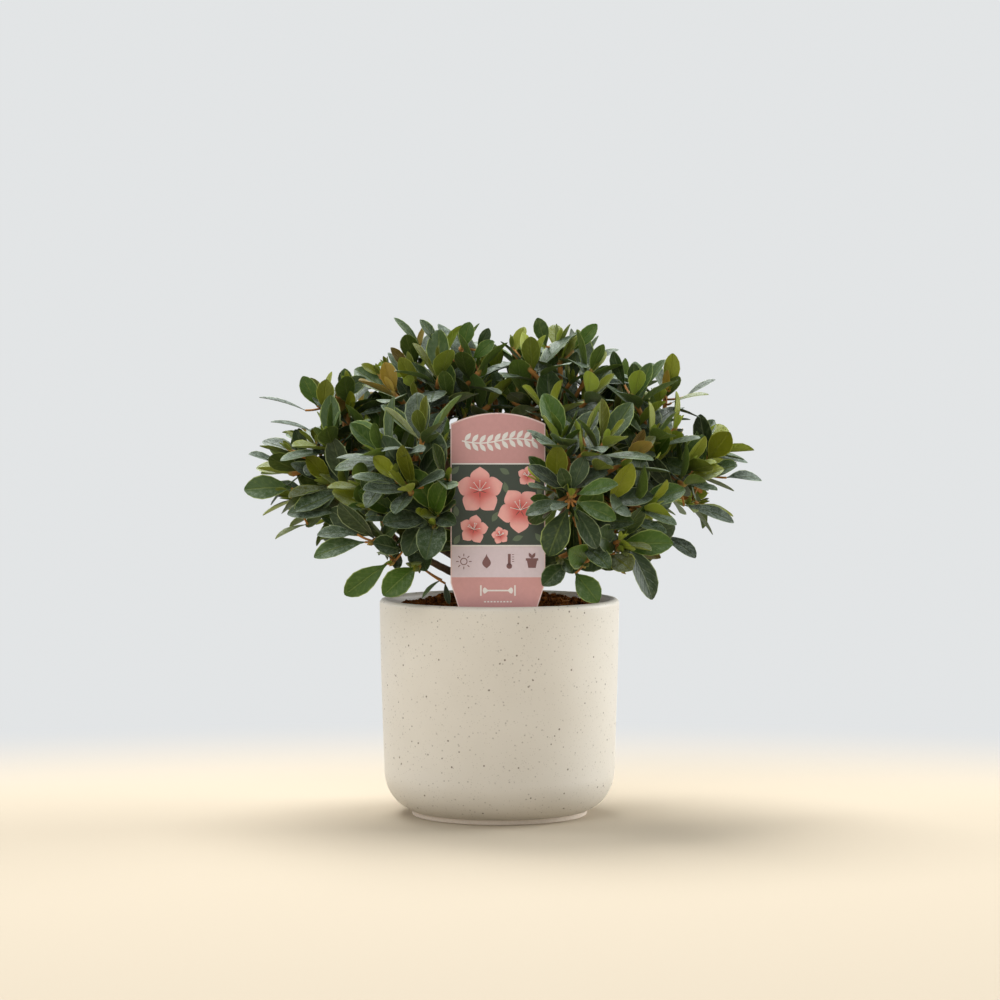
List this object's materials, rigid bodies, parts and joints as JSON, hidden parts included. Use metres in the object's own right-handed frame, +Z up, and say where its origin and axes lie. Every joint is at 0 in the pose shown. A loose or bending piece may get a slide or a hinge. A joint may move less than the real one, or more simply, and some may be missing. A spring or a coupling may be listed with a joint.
{
  "type": "potted azalea shrub",
  "caption": "Low rounded evergreen azalea shrub with whorls of small leathery leaves, in a round straight-sided stoneware pot of soil with a pointed plastic plant label in front.",
  "frame": {"origin": "middle of the pot's flat underside, on the surface it stands on", "axes": "+Z up the plant, -Y towards the side that the plant label faces, +X to the right as the label is read"},
  "size_m": [0.2718, 0.2266, 0.2747],
  "materials": {
    "pot": "satin cream stoneware with fine brown speckles",
    "soil": "dark moist crumbly potting soil",
    "label": "satin rose-pink printed plastic",
    "bark": "fine brown bark, orange-brown on the young shoots",
    "foliage": "leathery dark green leaves, yellow-green to bronze when young"
  },
  "bodies": {
    "root": {"bough_back_crest": "bark", "bough_back_left": "bark", "bough_back_low": "bark", "bough_back_right": "bark", "bough_front_left": "bark", "bough_front_right": "bark", "bough_left": "bark", "bough_left_crest": "bark", "bough_left_low": "bark", "bough_right": "bark", "bough_right_crest": "bark", "bough_right_low": "bark", "foliage_back_crest": "foliage", "foliage_back_left": "foliage", "foliage_back_low": "foliage", "foliage_back_right": "foliage", "foliage_front_left": "foliage", "foliage_front_right": "foliage", "foliage_left": "foliage", "foliage_left_crest": "foliage", "foliage_left_low": "foliage", "foliage_right": "foliage", "foliage_right_crest": "foliage", "foliage_right_low": "foliage", "plant_label": "label", "pot": "pot", "soil": "soil", "trunk": "bark"}
  },
  "joints": []
}
